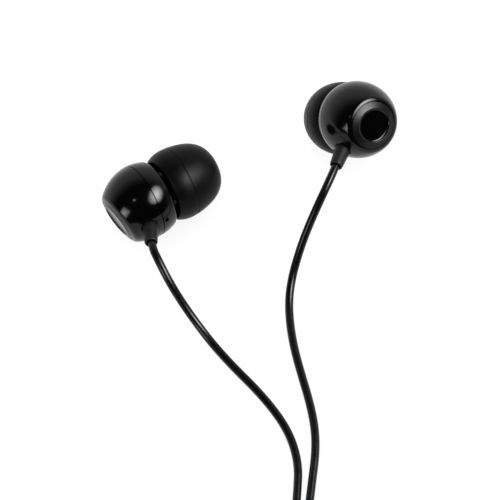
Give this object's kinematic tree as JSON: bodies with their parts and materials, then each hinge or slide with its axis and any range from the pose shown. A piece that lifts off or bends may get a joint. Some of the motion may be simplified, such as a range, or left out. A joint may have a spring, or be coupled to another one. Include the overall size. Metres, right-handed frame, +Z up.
{
  "type": "wired earphones",
  "caption": "In-ear wired earphones with silicone tips, moulded buds, strain reliefs, slider, Y-splitter, coiled cable and 3.5 mm plug.",
  "frame": {"origin": "centre of the floor area under the two buds, on the floor that they lie on", "axes": "+X from the left bud to the right bud, +Y from the coiled cables towards the buds, +Z up"},
  "size_m": [0.0491, 0.1692, 0.0194],
  "materials": {
    "housing": "polished moulded ABS",
    "end_cap": "moulded ABS, polished dish and satin rim",
    "ear_tip": "satin moulded silicone",
    "boot": "satin moulded TPE",
    "cable": "smooth extruded TPE jacket",
    "steel_mesh": "etched stainless steel",
    "foam": "open-cell foam and felt",
    "gasket": "matt",
    "film": "thin polyester film",
    "copper": "enamelled copper",
    "inner_plastic": "moulded",
    "steel": "zinc-plated steel",
    "magnet": "nickel-plated",
    "board": "solder-masked board",
    "tie": "flat plastic-coated tie",
    "slider": "polished moulded ABS",
    "plug_body": "satin overmoulding",
    "contact": "gold-plated turned brass",
    "insulator": "moulded"
  },
  "bodies": {
    "root": {"left_rear_housing": "housing", "left_end_cap": "end_cap", "left_front_housing": "housing", "left_nozzle_mesh": "steel_mesh", "left_nozzle_damper": "foam", "left_gasket": "gasket", "left_driver_grille": "steel_mesh", "left_driver_frame": "inner_plastic", "left_top_plate": "steel", "left_magnet": "magnet", "left_yoke": "steel", "left_terminal_board": "board", "left_vent_felt": "foam", "left_strain_relief": "boot", "left_cable_anchor": "cable", "left_lead_wires": "copper", "right_rear_housing": "housing", "right_end_cap": "end_cap", "right_front_housing": "housing", "right_nozzle_mesh": "steel_mesh", "right_nozzle_damper": "foam", "right_gasket": "gasket", "right_driver_grille": "steel_mesh", "right_driver_frame": "inner_plastic", "right_top_plate": "steel", "right_magnet": "magnet", "right_yoke": "steel", "right_terminal_board": "board", "right_vent_felt": "foam", "right_strain_relief": "boot", "right_cable_anchor": "cable", "right_lead_wires": "copper", "left_cable": "cable", "right_cable": "cable", "left_cable_tail": "cable", "right_cable_tail": "cable", "branch_coil": "cable", "branch_tie": "tie", "y_splitter": "boot", "trunk_cable": "cable", "trunk_coil": "cable", "trunk_tail": "cable", "trunk_tie": "tie", "plug_strain_relief": "boot", "plug_body": "plug_body", "plug_sleeve_contact": "contact", "plug_ring_contact": "contact", "plug_tip_contact": "contact", "plug_insulator": "insulator"},
    "left_ear_tip": {"left_ear_tip": "ear_tip"},
    "left_cone": {"left_diaphragm": "film", "left_voice_coil": "copper"},
    "right_ear_tip": {"right_ear_tip": "ear_tip"},
    "right_cone": {"right_diaphragm": "film", "right_voice_coil": "copper"},
    "cable_slider": {"cable_slider": "slider"}
  },
  "joints": [
    {"name": "left_ear_tip_pull", "type": "slide", "parent": "root", "child": "left_ear_tip", "axis": [0.8408, 0.5398, -0.0401], "range_m": [0, 0.008]},
    {"name": "left_cone_stroke", "type": "slide", "parent": "root", "child": "left_cone", "axis": [0.8408, 0.5398, -0.0401], "range_m": [-0.00012, 0.00012], "stiffness_N_per_m": 25},
    {"name": "right_ear_tip_pull", "type": "slide", "parent": "root", "child": "right_ear_tip", "axis": [-0.3527, 0.5113, -0.7837], "range_m": [0, 0.008]},
    {"name": "right_cone_stroke", "type": "slide", "parent": "root", "child": "right_cone", "axis": [-0.3527, 0.5113, -0.7837], "range_m": [-0.00012, 0.00012], "stiffness_N_per_m": 25},
    {"name": "slider_travel", "type": "slide", "parent": "root", "child": "cable_slider", "axis": [0, 1, 0], "range_m": [0, 0.007]}
  ]
}
